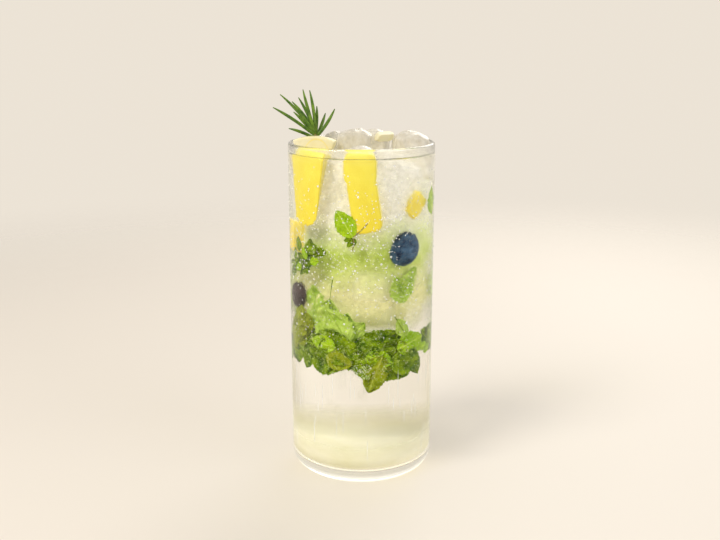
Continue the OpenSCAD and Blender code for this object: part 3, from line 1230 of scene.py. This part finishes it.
def make_stage():
    """A round pale floor that fades out before its edge."""
    floor = new_piece("floor", bpy.ops.mesh.primitive_circle_add, vertices=96, radius=0.82,
                      fill_type="NGON")
    mat, tree, shader = new_material("pale floor", Base_Color=(0.80, 0.74, 0.66, 1), Roughness=0.6)
    gradient = node(tree, "TexGradient", gradient_type="SPHERICAL")
    feed(object_place(tree, (1.25, 1.25, 1.25)), gradient, "Vector")
    fade = node(tree, "MapRange", interpolation_type="SMOOTHSTEP", From_Max=0.65)
    feed(gradient.outputs["Fac"], fade, "Value")
    mix = mixed_shaders(tree, fade.outputs["Result"], node(tree, "BsdfTransparent"), shader)
    feed(mix.outputs["Shader"], tree.nodes["Material Output"], "Surface")
    coat(floor, mat)


GLASS_MIDDLE = 0.08  # height that the lamps aim at


def lamp(name, at, size, power, color):
    light = bpy.data.lights.new(name, "AREA")
    light.shape = "DISK"
    light.size = size
    light.energy = power
    light.color = color
    holder = in_scene(name, light)
    holder.location = at
    aim = Vector((0, 0, GLASS_MIDDLE)) - Vector(at)
    holder.rotation_euler = aim.to_track_quat("-Z", "Y").to_euler()


def make_light():
    """Three lamps and a plain room, dimmer on surfaces than where it is seen directly."""
    lamp("key", (-0.55, -0.5, 0.8), 0.40, 6.7, (1.0, 0.96, 0.90))
    lamp("back", (0.35, 0.75, 0.6), 0.7, 4.5, (1.0, 0.97, 0.93))
    lamp("fill", (0.7, -0.4, 0.4), 0.6, 2.0, (0.95, 0.97, 1.0))
    world = bpy.data.worlds.new("studio")
    bpy.context.scene.world = world
    world.use_nodes = True
    tree = world.node_tree
    seen = dial(tree.nodes["Background"], Color=(0.84, 0.77, 0.67, 1))
    dim = node(tree, "Background", Color=(0.80, 0.78, 0.75, 1), Strength=0.5)
    faint = node(tree, "Background", Color=(0.84, 0.80, 0.74, 1), Strength=0.85)
    path = node(tree, "LightPath").outputs
    early = node(tree, "Math", operation="LESS_THAN")
    early.inputs[1].default_value = 1.5
    gloss = node(tree, "Math", operation="MULTIPLY")
    feed(path["Ray Depth"], early, 0)
    feed(path["Is Glossy Ray"], gloss, 0)
    feed(early.outputs["Value"], gloss, 1)
    room = mixed_shaders(tree, path["Is Diffuse Ray"], seen, dim)
    whole = mixed_shaders(tree, gloss.outputs["Value"], room, faint)
    feed(whole.outputs["Shader"], tree.nodes["World Output"], "Surface")


CAMERA_AT = (-0.00066, -0.417, 0.194)
CAMERA_DIP = 14.4  # degrees below level
LENS, SENSOR = 47.7, 36.0  # mm
CAMERA_RISE = 0.0132  # share of the picture's width


def make_camera():
    data = bpy.data.cameras.new("camera")
    data.sensor_width = SENSOR
    data.lens = LENS
    data.shift_y = CAMERA_RISE
    data.clip_start = 0.01
    camera = in_scene("camera", data)
    camera.location = CAMERA_AT
    camera.rotation_euler = (radians(90 - CAMERA_DIP), 0, 0)
    bpy.context.scene.camera = camera


def set_scene():
    bpy.context.scene.view_settings.view_transform = "Standard"
    cycles = bpy.context.scene.cycles
    cycles.max_bounces = 24
    cycles.transmission_bounces = 24
    cycles.transparent_max_bounces = 64
    cycles.caustics_reflective = False
    cycles.caustics_refractive = False
    cycles.sample_clamp_indirect = 4


make_camera()
make_light()
make_stage()
set_scene()
make_glass()
make_drink()
make_fizz()
make_pulp()
for number in range(1, 10):
    make_floating_ice(number)
make_sunk_ice()
make_lemon_pieces()
make_cut_lemon()
make_sunk_lemon("lemon_sunk_right", on_wall(62, 123.5, 8.0), (7.5, 6.5, 10), (10, 40, 50), 7)
make_sunk_lemon("lemon_sunk_left", on_wall(-80, 108.5, 5.4), (8, 8, 13), (0, 6, 10), 5)
make_mint()
make_berry("berry_right", BERRY, on_wall(*BERRY_SPOTS[0], 7.4), (13.2, 12.8, 14.8), (12, 18, 30))
make_berry("berry_left", BERRY_DUSK, on_wall(*BERRY_SPOTS[1], 5.8), (10.2, 10.2, 11.6), (0, -8, 30))
make_rosemary()
make_dew()
make_bubbles()
BED = ("mint_bed", "mint_bed_tip", "mint_bed_lit")
make_bubbles_on("bubbles_on_bed", BED, AIR_GREEN, 900, (0.22, 0.6), 41)
make_bubbles_on("froth_on_bed", BED, FROTH_GREEN, 1400, (0.12, 0.24), 44)
make_bubbles_on("bubbles_on_leaf", ("mint_front_leaf",), FROTH_GREEN, 90, (0.08, 0.16), 42)
make_bubbles_on("bubbles_on_berries", ("berry_right", "berry_left"), FROTH, 70, (0.05, 0.1), 43)
